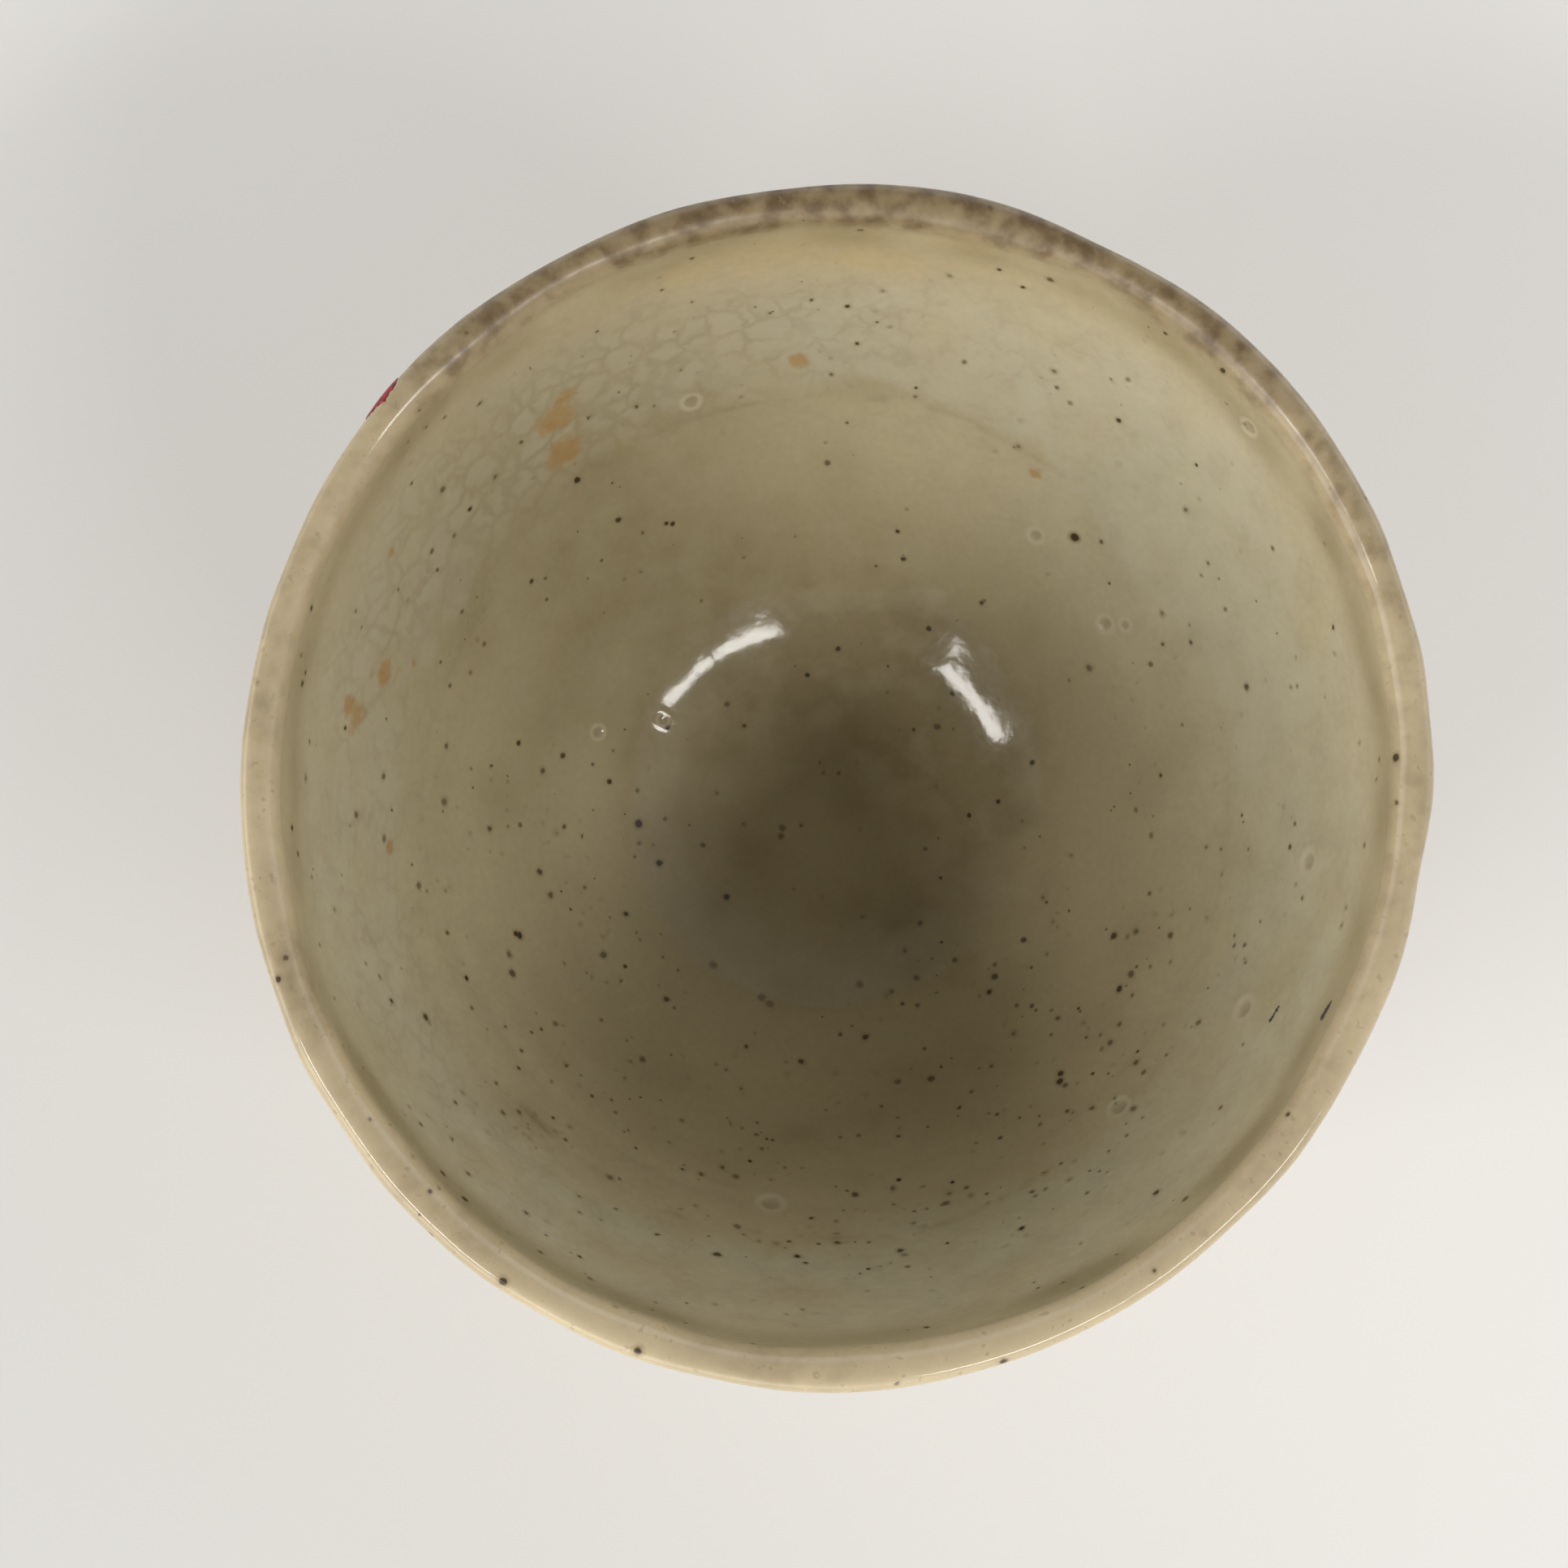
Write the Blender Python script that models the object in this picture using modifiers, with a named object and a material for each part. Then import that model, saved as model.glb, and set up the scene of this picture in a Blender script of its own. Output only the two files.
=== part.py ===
"""A hand-thrown, glazed matcha bowl (chawan) on a luted foot ring.

Run it with: blender --background --python part.py
Units are metres, +Z is up, and the origin is the middle of the foot's underside.

The bowl is one line turned round the vertical axis: up the inner wall, over the rounded lip and
down the outer wall. The glaze coats lie on that line, the clay lies under them, and every piece
is then eased out of round by the same function, as a bowl thrown by hand is.
"""

from math import atan2, cos, exp, pi, radians, sin

import bpy
from mathutils import Vector

# Driving dimensions of the whole bowl.
HEIGHT = 0.075
RIM_RADIUS = 0.060
BOWL_DEPTH = 0.0625

# The lip is two quarter ellipses that meet at its crest.
LIP_CREST_RADIUS = 0.0586
LIP_INNER_DROP = 0.0026
LIP_OUTER_DROP = 0.0016

# Inner and outer walls are superellipses, each with a power for its radius and for its height.
INNER_WALL_RADIUS = 0.0563
INNER_POWERS = (2.2, 1.8)
OUTER_WALL_TOP = 0.070
OUTER_WALL_BOTTOM = 0.0075
OUTER_POWERS = (3.0, 1.9)

# The outer glaze stops in a line above the foot, and bare clay shows below it.
GLAZE_LINE_HEIGHT = 0.0155
GLAZE_THICKNESS = 0.0008
SEAM_GAP = 0.0003

# The foot ring stands under a flat seat on the clay.
FOOT_SEAT_HEIGHT = 0.0078
FOOT_SEAT_RADIUS = 0.0284
FOOT_OUTER_RADIUS = 0.0270
FOOT_INNER_RADIUS = 0.0215
FOOT_FLARE = 0.0008
FOOT_EDGE = 0.0007
CLAY_CURVE_END_HEIGHT = 0.0111

# One short brush dab of red enamel on the outer shoulder of the lip.
DAB_DIRECTION = radians(141.0)
DAB_HALF_SWEEP = radians(2.6)
DAB_MIDDLE_DROP = 0.0014
DAB_HALF_DROP = 0.0012
DAB_THICKNESS = 0.0004
DAB_TAPER = 0.3
DAB_NARROWEST = 0.15

# How far the throwing left the bowl out of round. Directions are measured from +X.
OVAL_AMOUNT = 0.013
OVAL_DIRECTION = radians(67.0)
RIM_WAVE_HEIGHT = 0.0007
RIM_WAVES = 3
DENT_DIRECTION = radians(333.0)
DENT_HALF_WIDTH = radians(7.0)
DENT_DEPTH = 0.0002
STRAIGHT_BELOW = 0.014

# Mesh resolution.
TURN_STEPS = 48
INNER_WALL_POINTS = 13
OUTER_WALL_POINTS = 11
LIP_POINTS = 4
BARE_CLAY_POINTS = 3
DAB_LENGTH_POINTS = 9
DAB_WIDTH_POINTS = 5
BISECTION_STEPS = 40

MERGE_DISTANCE = 0.00001
SHARP_ANGLE = radians(40.0)


def clear_scene():
    for found in list(bpy.data.objects):
        bpy.data.objects.remove(found, do_unlink=True)


def new_collection(name):
    collection = bpy.data.collections.new(name)
    bpy.context.scene.collection.children.link(collection)
    return collection


def material(name, colour, roughness, metallic=0.0):
    made = bpy.data.materials.new(name)
    made.use_nodes = True
    shader = made.node_tree.nodes["Principled BSDF"]
    shader.inputs["Base Color"].default_value = (*colour, 1.0)
    shader.inputs["Roughness"].default_value = roughness
    shader.inputs["Metallic"].default_value = metallic
    return made


def place(name, mesh, made_of, collection):
    mesh.materials.append(made_of)
    mesh.shade_smooth()
    placed = bpy.data.objects.new(name, mesh)
    collection.objects.link(placed)
    return placed


# The turned line, as (radius, height) points.


def inner_wall_point(angle):
    """A point of the inner wall: angle 0 is the middle of the floor, a quarter turn is the rim."""
    radius_power, height_power = INNER_POWERS
    radius = INNER_WALL_RADIUS * sin(angle) ** (2 / radius_power)
    drop = BOWL_DEPTH * cos(angle) ** (2 / height_power)
    return Vector((radius, HEIGHT - drop))


def outer_wall_point(angle):
    radius_power, height_power = OUTER_POWERS
    radius = RIM_RADIUS * sin(angle) ** (2 / radius_power)
    drop = (OUTER_WALL_TOP - OUTER_WALL_BOTTOM) * cos(angle) ** (2 / height_power)
    return Vector((radius, OUTER_WALL_TOP - drop))


def angle_at_height(wall_point, height):
    """The wall angle, up from the floor, at which a wall reaches this height, by bisection."""
    low, high = 0.0, pi / 2
    for _ in range(BISECTION_STEPS):
        middle = (low + high) / 2
        if wall_point(middle).y < height:
            low = middle
        else:
            high = middle
    return low


def spaced(first, last, count):
    return [first + (last - first) * index / (count - 1) for index in range(count)]


def inner_wall_line():
    """The inner wall from the middle of the floor up to the lip."""
    top = angle_at_height(inner_wall_point, HEIGHT - LIP_INNER_DROP)
    return [inner_wall_point(angle) for angle in spaced(0.0, top, INNER_WALL_POINTS)]


def lip_line():
    """The rounded lip, from its inner edge over the crest and down to the outer wall's top."""
    inner_edge = inner_wall_line()[-1]
    crest = Vector((LIP_CREST_RADIUS, HEIGHT))
    inside = [
        Vector(
            (
                crest.x - (crest.x - inner_edge.x) * cos(angle),
                inner_edge.y + LIP_INNER_DROP * sin(angle),
            )
        )
        for angle in spaced(0.0, pi / 2, LIP_POINTS)
    ]
    outside = [
        Vector(
            (
                crest.x + (RIM_RADIUS - crest.x) * sin(angle),
                crest.y - LIP_OUTER_DROP * (1 - cos(angle)),
            )
        )
        for angle in spaced(0.0, pi / 2, LIP_POINTS)
    ]
    return inside + outside[1:] + [Vector((RIM_RADIUS, OUTER_WALL_TOP))]


def outer_wall_line():
    """The outer wall from the lip down to the glaze line."""
    bottom = angle_at_height(outer_wall_point, GLAZE_LINE_HEIGHT)
    return [outer_wall_point(angle) for angle in spaced(pi / 2, bottom, OUTER_WALL_POINTS)]


def bare_clay_line():
    """The unglazed clay below the glaze line, curving in to the foot's seat."""
    glaze_line = angle_at_height(outer_wall_point, GLAZE_LINE_HEIGHT)
    curve_end = angle_at_height(outer_wall_point, CLAY_CURVE_END_HEIGHT)
    curve = [outer_wall_point(angle) for angle in spaced(glaze_line, curve_end, BARE_CLAY_POINTS)]
    return curve[1:] + [Vector((FOOT_SEAT_RADIUS, FOOT_SEAT_HEIGHT))]


def offset_line(line, distance):
    """The line moved sideways into the wall: to the right of its direction of travel."""
    moved = []
    for index, point in enumerate(line):
        before = line[max(index - 1, 0)]
        after = line[min(index + 1, len(line) - 1)]
        along = (after - before).normalized()
        moved.append(point + distance * Vector((along.y, -along.x)))
    if line[0].x == 0.0:
        moved[0] = Vector((0.0, line[0].y - distance))
    return moved


def trimmed(line, at_start=0.0, at_end=0.0):
    """The line with its first and last points drawn in along it."""
    line = list(line)
    line[0] = line[0] + at_start * (line[1] - line[0]).normalized()
    line[-1] = line[-1] + at_end * (line[-2] - line[-1]).normalized()
    return line


def coat_outline(line):
    """A glaze coat: the surface line out, and its underside back."""
    return line + offset_line(line, GLAZE_THICKNESS)[::-1]


# Turning and easing out of round.


def smooth_step(value):
    value = min(max(value, 0.0), 1.0)
    return value * value * (3 - 2 * value)


def turn_difference(direction, reference):
    return (direction - reference + pi) % (2 * pi) - pi


def hand_thrown(point):
    """Moves a point of the true turned form to where the potter's hands left it."""
    direction = atan2(point.y, point.x)
    share = smooth_step((point.z - STRAIGHT_BELOW) / (HEIGHT - STRAIGHT_BELOW))
    reach = smooth_step(point.xy.length / INNER_WALL_RADIUS)
    oval = OVAL_AMOUNT * cos(2 * (direction - OVAL_DIRECTION))
    dent = exp(-((turn_difference(direction, DENT_DIRECTION) / DENT_HALF_WIDTH) ** 2))
    scale = 1 + share * reach * (oval - dent * DENT_DEPTH / RIM_RADIUS)
    rise = share * reach * (RIM_WAVE_HEIGHT * sin(RIM_WAVES * direction) - dent * DENT_DEPTH)
    return Vector((point.x * scale, point.y * scale, point.z + rise))


def turned_mesh(outline, on_axis):
    """The outline turned round Z by a Screw modifier, as a plain mesh."""
    points = [(point.x, 0.0, point.y) for point in outline]
    edges = [(index, index + 1) for index in range(len(points) - 1)]
    if not on_axis:
        edges.append((len(points) - 1, 0))
    profile = bpy.data.meshes.new("profile")
    profile.from_pydata(points, edges, [])
    turning = bpy.data.objects.new("turning", profile)
    bpy.context.scene.collection.objects.link(turning)
    screw = turning.modifiers.new("turn", "SCREW")
    screw.angle = 2 * pi
    screw.steps = TURN_STEPS
    screw.render_steps = TURN_STEPS
    screw.use_merge_vertices = True
    screw.merge_threshold = MERGE_DISTANCE
    graph = bpy.context.evaluated_depsgraph_get()
    mesh = bpy.data.meshes.new_from_object(turning.evaluated_get(graph))
    bpy.data.objects.remove(turning, do_unlink=True)
    bpy.data.meshes.remove(profile)
    return mesh


def thrown_piece(name, outline, made_of, collection, on_axis=False):
    mesh = turned_mesh(outline, on_axis)
    mesh.name = name
    for vertex in mesh.vertices:
        vertex.co = hand_thrown(vertex.co)
    placed = place(name, mesh, made_of, collection)
    mesh.set_sharp_from_angle(angle=SHARP_ANGLE)
    return placed


# The pieces.


def inner_glaze(collection):
    line = trimmed(inner_wall_line(), at_end=SEAM_GAP)
    celadon = material("celadon_glaze", (0.49, 0.46, 0.34), 0.18)
    return thrown_piece("inner_glaze", coat_outline(line), celadon, collection, on_axis=True)


def lip_glaze(collection):
    beige = material("warm_lip_glaze", (0.60, 0.50, 0.36), 0.18)
    return thrown_piece("lip_glaze", coat_outline(lip_line()), beige, collection)


def outer_glaze(collection):
    line = trimmed(outer_wall_line(), at_start=SEAM_GAP)
    cream = material("outer_glaze", (0.55, 0.50, 0.38), 0.20)
    return thrown_piece("outer_glaze", coat_outline(line), cream, collection)


def clay_body(collection):
    """The thrown wall and floor: everything under the glaze, down to the foot's seat."""
    surface = inner_wall_line() + lip_line()[1:] + outer_wall_line()[1:] + bare_clay_line()[:-1]
    line = offset_line(surface, GLAZE_THICKNESS + SEAM_GAP)
    underside = [bare_clay_line()[-1], Vector((0.0, FOOT_SEAT_HEIGHT))]
    stoneware = material("stoneware_clay", (0.47, 0.36, 0.25), 0.85)
    return thrown_piece("clay_body", line + underside, stoneware, collection, on_axis=True)


def foot_ring(collection):
    """The luted ring that the bowl stands on, with both bottom edges wiped round."""
    top = FOOT_SEAT_HEIGHT - SEAM_GAP
    outline = [
        Vector((FOOT_INNER_RADIUS - FOOT_FLARE, top)),
        Vector((FOOT_OUTER_RADIUS + FOOT_FLARE, top)),
        Vector((FOOT_OUTER_RADIUS, FOOT_EDGE)),
        Vector((FOOT_OUTER_RADIUS - FOOT_EDGE, 0.0)),
        Vector((FOOT_INNER_RADIUS + FOOT_EDGE, 0.0)),
        Vector((FOOT_INNER_RADIUS, FOOT_EDGE)),
    ]
    clay = material("foot_clay", (0.44, 0.33, 0.23), 0.9)
    return thrown_piece("foot_ring", outline, clay, collection)


def lip_shoulder_point(drop):
    """A point of the lip's outer side, by how far it lies below the crest."""
    left = max(1 - drop / LIP_OUTER_DROP, 0.0)
    reach = (RIM_RADIUS - LIP_CREST_RADIUS) * (1 - left * left) ** 0.5
    return Vector((LIP_CREST_RADIUS + reach, HEIGHT - drop))


def dab_point(along, across):
    """A point of the brush dab: along runs round the lip and across runs down it, both -1 to 1."""
    fullness = (1 - DAB_TAPER * along) / (1 + DAB_TAPER * abs(along))
    width = max(fullness * (1 - along * along) ** 0.5, DAB_NARROWEST)
    drop = DAB_MIDDLE_DROP + DAB_HALF_DROP * across * width
    here = lip_shoulder_point(drop)
    downward = (lip_shoulder_point(drop + SEAM_GAP) - here).normalized()
    here += (SEAM_GAP + DAB_THICKNESS / 2) * Vector((-downward.y, downward.x))
    direction = DAB_DIRECTION + DAB_HALF_SWEEP * along
    return hand_thrown(Vector((here.x * cos(direction), here.x * sin(direction), here.y)))


def red_enamel_stroke(collection):
    """A brush dab on the lip's shoulder, fuller at one end and drawn out at the other."""
    points = [
        dab_point(along, across)
        for along in spaced(-1.0, 1.0, DAB_LENGTH_POINTS)
        for across in spaced(-1.0, 1.0, DAB_WIDTH_POINTS)
    ]
    corners = [
        row * DAB_WIDTH_POINTS + column
        for row in range(DAB_LENGTH_POINTS - 1)
        for column in range(DAB_WIDTH_POINTS - 1)
    ]
    faces = [
        (corner, corner + 1, corner + DAB_WIDTH_POINTS + 1, corner + DAB_WIDTH_POINTS)
        for corner in corners
    ]
    mesh = bpy.data.meshes.new("red_enamel_stroke")
    mesh.from_pydata(points, [], faces)
    enamel = material("red_enamel", (0.30, 0.02, 0.03), 0.25)
    placed = place("red_enamel_stroke", mesh, enamel, collection)
    shell = placed.modifiers.new("thickness", "SOLIDIFY")
    shell.thickness = DAB_THICKNESS
    shell.offset = 0.0
    return placed


def main():
    clear_scene()
    bowl = new_collection("matcha_bowl")
    clay_body(bowl)
    foot_ring(bowl)
    inner_glaze(bowl)
    lip_glaze(bowl)
    outer_glaze(bowl)
    red_enamel_stroke(bowl)


main()
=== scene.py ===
"""The looks of the matcha bowl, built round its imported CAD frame. Metres, +Z up.

Every glaze and clay piece lies on one surface: a line turned round Z (up the inner wall, over the
lip and down the outside), eased out of round by hand_thrown, and given the relief of throwing
ridges, glaze swell, pits and lip wobble along its normal. A place on it is a direction, in radians
from +X, and a climb, the distance along the line from the middle of the floor.
"""

from math import cos, pi, radians, sin

import bpy
import numpy as np
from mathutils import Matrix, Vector


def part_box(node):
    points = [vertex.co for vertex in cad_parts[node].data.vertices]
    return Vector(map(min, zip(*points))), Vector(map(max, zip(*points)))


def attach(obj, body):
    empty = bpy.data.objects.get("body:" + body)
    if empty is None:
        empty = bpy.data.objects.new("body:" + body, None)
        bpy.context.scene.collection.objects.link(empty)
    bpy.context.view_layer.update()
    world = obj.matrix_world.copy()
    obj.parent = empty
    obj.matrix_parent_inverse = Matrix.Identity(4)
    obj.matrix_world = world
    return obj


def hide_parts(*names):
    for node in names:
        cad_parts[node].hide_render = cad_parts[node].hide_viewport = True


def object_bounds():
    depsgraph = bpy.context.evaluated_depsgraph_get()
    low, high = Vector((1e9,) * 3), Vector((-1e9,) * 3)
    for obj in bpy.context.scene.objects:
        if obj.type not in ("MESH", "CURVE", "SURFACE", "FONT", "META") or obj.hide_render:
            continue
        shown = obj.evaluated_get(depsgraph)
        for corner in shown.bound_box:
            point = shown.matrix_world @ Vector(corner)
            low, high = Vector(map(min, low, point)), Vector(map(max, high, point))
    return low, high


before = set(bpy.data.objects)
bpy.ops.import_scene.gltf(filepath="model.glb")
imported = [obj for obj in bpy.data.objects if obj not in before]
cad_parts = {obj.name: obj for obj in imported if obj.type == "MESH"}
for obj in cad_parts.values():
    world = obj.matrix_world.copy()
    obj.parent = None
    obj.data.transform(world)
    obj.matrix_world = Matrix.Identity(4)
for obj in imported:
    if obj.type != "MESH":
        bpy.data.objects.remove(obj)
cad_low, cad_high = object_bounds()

MM = 0.001

# The turned form, as the CAD model has it.
HEIGHT = 0.075
RIM_RADIUS = 0.060
BOWL_DEPTH = 0.0625
LIP_CREST_RADIUS = 0.0586
LIP_INNER_DROP = 0.0026
LIP_OUTER_DROP = 0.0016
INNER_WALL_RADIUS = 0.0563
INNER_POWERS = (2.2, 1.8)
OUTER_WALL_TOP = 0.070
OUTER_WALL_BOTTOM = 0.0075
OUTER_POWERS = (3.0, 1.9)
GLAZE_LINE_HEIGHT = 0.0155
GLAZE_THICKNESS = 0.0008
FOOT_SEAT_HEIGHT = 0.0078
FOOT_SEAT_RADIUS = 0.0284
OVAL_AMOUNT = 0.013
OVAL_DIRECTION = radians(67.0)
RIM_WAVE_HEIGHT = 0.0007
RIM_WAVES = 3
DENT_DIRECTION = radians(333.0)
DENT_HALF_WIDTH = radians(7.0)
DENT_DEPTH = 0.0002
STRAIGHT_BELOW = 0.014
DAB_DIRECTION = radians(141.0)
DAB_HALF_SWEEP = radians(2.6)
DAB_PAST_CREST = 0.00189
DAB_HALF_DROP = 0.0012
DAB_NARROWEST = 0.02
DAB_THICKNESS = 0.00016
DAB_CLEARANCE = 0.00001
FOOT_INNER_RADIUS = 0.0215
FOOT_FLARE = 0.0008

# Relief: heights and depths along the surface's normal, and where each lies.
THROWING_PITCH = 0.0062
THROWING_RIDGE = 0.00004
RIDGES_FROM_RADIUS = 0.0208
RIDGES_FADE = 0.0260
RING_HEIGHT = 0.0400
RING_WANDER = 0.0005
RING_HALF_WIDTH = 0.0007
RING_DEPTH = 0.00012
WELL_RADIUS = 0.0255
WELL_SLOPE = 0.0040
WELL_STEP = 0.00010
GROOVE_BELOW_LIP = 0.0012
GROOVE_HALF_WIDTH = 0.0010
GROOVE_DEPTH = 0.00006
LIP_HALF_WIDTH = 0.0040

# Soft noise in shapes, each layer as (height, wavelength, seed), with lengths in metres.
SWELL_AND_PEEL = [(0.00007, 0.024, 7), (0.000010, 0.008, 11), (0.000002, 0.0024, 13)]
LIP_WOBBLE = [(0.00010, 0.015, 17)]
GLAZE_EDGE_WAVE = [(0.0009, 0.026, 29), (0.0003, 0.009, 31)]
CLAY_GRAIN = [(0.00003, 0.003, 41), (0.00008, 0.014, 43)]

# The outer glaze's lower edge: runs below its line, as (length, direction and half width in degrees).
GLAZE_RUNS = [(0.0022, 24, 5), (0.00176, 205, 7)]
BARE_CLAY_KEPT = 0.0015
BEAD_HEIGHT = 0.0003
BEAD_WIDTH = 0.0030
NOSE_REACH = 0.7

# Bare clay: lines from the turning tool, the drop left at the middle of the underside, and the foot's
# edges and nicks.
CLAY_LINE_PITCH = 0.0015
CLAY_LINE_HEIGHT = 0.00005
CLAY_CLEARANCE = 0.00008
SHOWN_CLAY_CLEARANCE = 0.00003
CLAY_ABOVE_GLAZE_LINE = 0.0040
SWIRL_PITCH = 0.0024
SWIRL_HEIGHT = 0.00012
DROP_DEPTH = 0.0011
DROP_HALF_WIDTH = 0.0040
FOOT_EDGE = 0.0009
FOOT_OVERLAP = 0.0003
NICK_DIRECTIONS = (18, 96, 221, 301)
NICK_DEPTH = 0.0005

# Marks on the inside, each at (direction in degrees, climb in mm, size in mm).
PITS = [
    (33, 47, 1.1), (31, 49.5, 0.8), (52, 48.5, 1.0), (109, 62, 1.1), (262, 57, 1.4), (313, 61, 1.3),
    (332, 70, 1.4), (351, 73.5, 1.3), (40, 87, 1.0), (160, 32, 0.9), (148.5, 24.5, 0.8),
]
RUST = [
    (126, 71, 3.0), (124.5, 72.5, 2.0), (127.5, 64.5, 2.4), (172, 73, 2.0), (171, 75, 1.4),
    (165.5, 69.5, 1.5), (162.5, 64.5, 1.0), (187, 64.5, 0.8), (152.5, 77.5, 0.8), (94, 65.5, 1.4),
    (57.5, 56, 1.3),
]
DARK_SPECKS = [
    (47, 52, 0.62), (52, 71, 0.36), (88, 74.5, 0.36), (69, 84, 0.32), (72, 86, 0.30), (142, 69, 0.36),
    (163, 90, 0.36), (186, 88, 0.34), (242, 81.5, 0.30), (279, 87, 0.36), (118, 45, 0.36), (119, 45.5, 0.38),
    (202.5, 46, 0.46), (203, 45.5, 0.50), (168, 43, 0.36), (310, 50.5, 0.50), (311, 49.5, 0.46),
    (328, 48, 0.48), (75, 40, 0.34), (60, 29, 0.42), (84, 22.5, 0.42), (95, 19, 0.38), (43, 24, 0.42),
    (5, 23.5, 0.38), (1, 19.5, 0.36), (14, 29, 0.40), (131, 25, 0.44), (182.5, 24, 0.60), (196, 22, 0.50),
    (207, 29, 0.40), (313, 32.5, 0.42), (281, 30, 0.44), (265, 33, 0.40),
]
BROWN_SPECKS = [
    (192, 5, 0.50), (203, 5.5, 0.46), (252, 25, 0.60), (254.5, 25.5, 0.56), (234, 24, 0.60),
    (283, 22.5, 0.56), (258, 62.5, 0.50), (186, 65.5, 0.50), (176, 91, 0.34),
]
# Each stroke is a row of dots that run into each other.
BLUE_STROKES = [
    (333.3, 88, 0.50), (333.7, 88.1, 0.46), (334.1, 88.1, 0.42), (334.5, 88.2, 0.36), (334.9, 88.3, 0.26),
    (331.6, 76.4, 0.30), (332.0, 76.5, 0.26), (332.4, 76.5, 0.20), (332.9, 76.6, 0.28), (333.3, 76.7, 0.20),
]

# Iron specks on the lip, in the same terms.
LIP_SPECKS = [(237, 95.1, 0.50), (251, 95.1, 0.50), (201, 95.1, 0.40), (1, 92.0, 0.50), (46, 91.5, 0.36)]

# Colour zones inside, each (strength, direction and half width in degrees, climb and half height in mm).
CELADON_ZONES = [(0.55, 32, 34, 60, 15), (0.50, 182, 9, 65, 3.6), (0.90, 220, 20, 70.5, 5.5)]
# The warm zones are painted shade: darker, browner patches where shade falls on the floor of the well and
# the lower walls.
WARM_AND_SHADE_ZONES = [(0.85, 55, 75, 24, 14), (0.60, 130, 42, 58, 30), (0.38, 280, 60, 46, 18)]
CRACKLE_ZONES = [(1.00, 122, 48, 71, 9), (0.35, 205, 50, 72, 10)]

# Where tea has stained the lip, as (strength, direction and half width in degrees).
STAINED_LIP = [(1.00, 84, 25), (0.60, 122, 24), (0.60, 42, 32)]

# Iron specks scattered at random: (cell in mm, share of cells with one, largest radius in mm, darkness).
SPECK_SCATTERS = [(1.7, 0.60, 0.40, 0.60), (2.5, 0.90, 0.62, 0.75)]

# Mesh resolution.
WALL_TURNS = 560
WALL_PITCH = 0.00064
LIP_TURNS = 1080
LIP_PITCH = 0.00022
CLAY_TURNS = 360
CLAY_PITCH = 0.0006
UNDERSIDE_ROWS = 14
LIP_UNDERSIDE_ROWS = 12
HIDDEN_CLAY_PITCH = 0.0030
DAB_ROWS = 81
DAB_TURNS = 32
CREASE_ANGLE = radians(50)
TUCK_WIDTH = 0.0010
TUCK_DEPTH = 0.00006
NOISE_WAVES = 32


# The turned line and its warp.


def superellipse(angle, radius, drop, powers):
    return radius * np.sin(angle) ** (2 / powers[0]), drop * np.cos(angle) ** (2 / powers[1])


def turned_line():
    """The glaze surface's line as (radius, height) rows, with the climbs where its parts meet."""
    quarter = np.linspace(0, pi / 2, 1500)
    radius, drop = superellipse(quarter, INNER_WALL_RADIUS, BOWL_DEPTH, INNER_POWERS)
    inner = np.stack([radius, HEIGHT - drop], 1)
    inner = inner[inner[:, 1] < HEIGHT - LIP_INNER_DROP]

    turn = np.linspace(0, pi / 2, 120)
    lip_reach = LIP_CREST_RADIUS - inner[-1, 0]
    rise = HEIGHT - inner[-1, 1]
    lip_inside = np.stack(
        [LIP_CREST_RADIUS - lip_reach * np.cos(turn), inner[-1, 1] + rise * np.sin(turn)], 1
    )
    shoulder = RIM_RADIUS - LIP_CREST_RADIUS
    lip_outside = np.stack(
        [LIP_CREST_RADIUS + shoulder * np.sin(turn), HEIGHT - LIP_OUTER_DROP * (1 - np.cos(turn))], 1
    )

    radius, drop = superellipse(quarter[::-1], RIM_RADIUS, OUTER_WALL_TOP - OUTER_WALL_BOTTOM, OUTER_POWERS)
    outer = np.stack([radius, OUTER_WALL_TOP - drop], 1)
    outer = outer[outer[:, 0] > FOOT_SEAT_RADIUS]

    parts = [inner, lip_inside[1:], lip_outside[1:], outer]
    line = np.concatenate(parts)
    steps = np.linalg.norm(np.diff(line, axis=0), axis=1)
    climb = np.concatenate([[0.0], np.cumsum(steps)])
    ends = np.cumsum([len(part) for part in parts]) - 1
    return line, climb, climb[ends]


LINE, CLIMB, (LIP_START, LIP_CREST, LIP_END, LINE_END) = turned_line()
ALONG = np.gradient(LINE, CLIMB, axis=0)
ALONG /= np.linalg.norm(ALONG, axis=1)[:, None]
GLAZE_LINE = float(np.interp(-GLAZE_LINE_HEIGHT, -LINE[CLIMB > LIP_END, 1], CLIMB[CLIMB > LIP_END]))
WALL_TOP = float(np.interp(-OUTER_WALL_TOP, -LINE[CLIMB > LIP_CREST, 1], CLIMB[CLIMB > LIP_CREST]))


def smooth_step(value):
    value = np.clip(value, 0.0, 1.0)
    return value * value * (3 - 2 * value)


def turn_difference(direction, reference):
    return (direction - reference + pi) % (2 * pi) - pi


def hump(value, middle, half_width):
    return np.exp(-(((value - middle) / half_width) ** 2))


def direction_hump(direction, middle_degrees, half_width_degrees):
    return hump(turn_difference(direction, radians(middle_degrees)), 0.0, radians(half_width_degrees))


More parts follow.
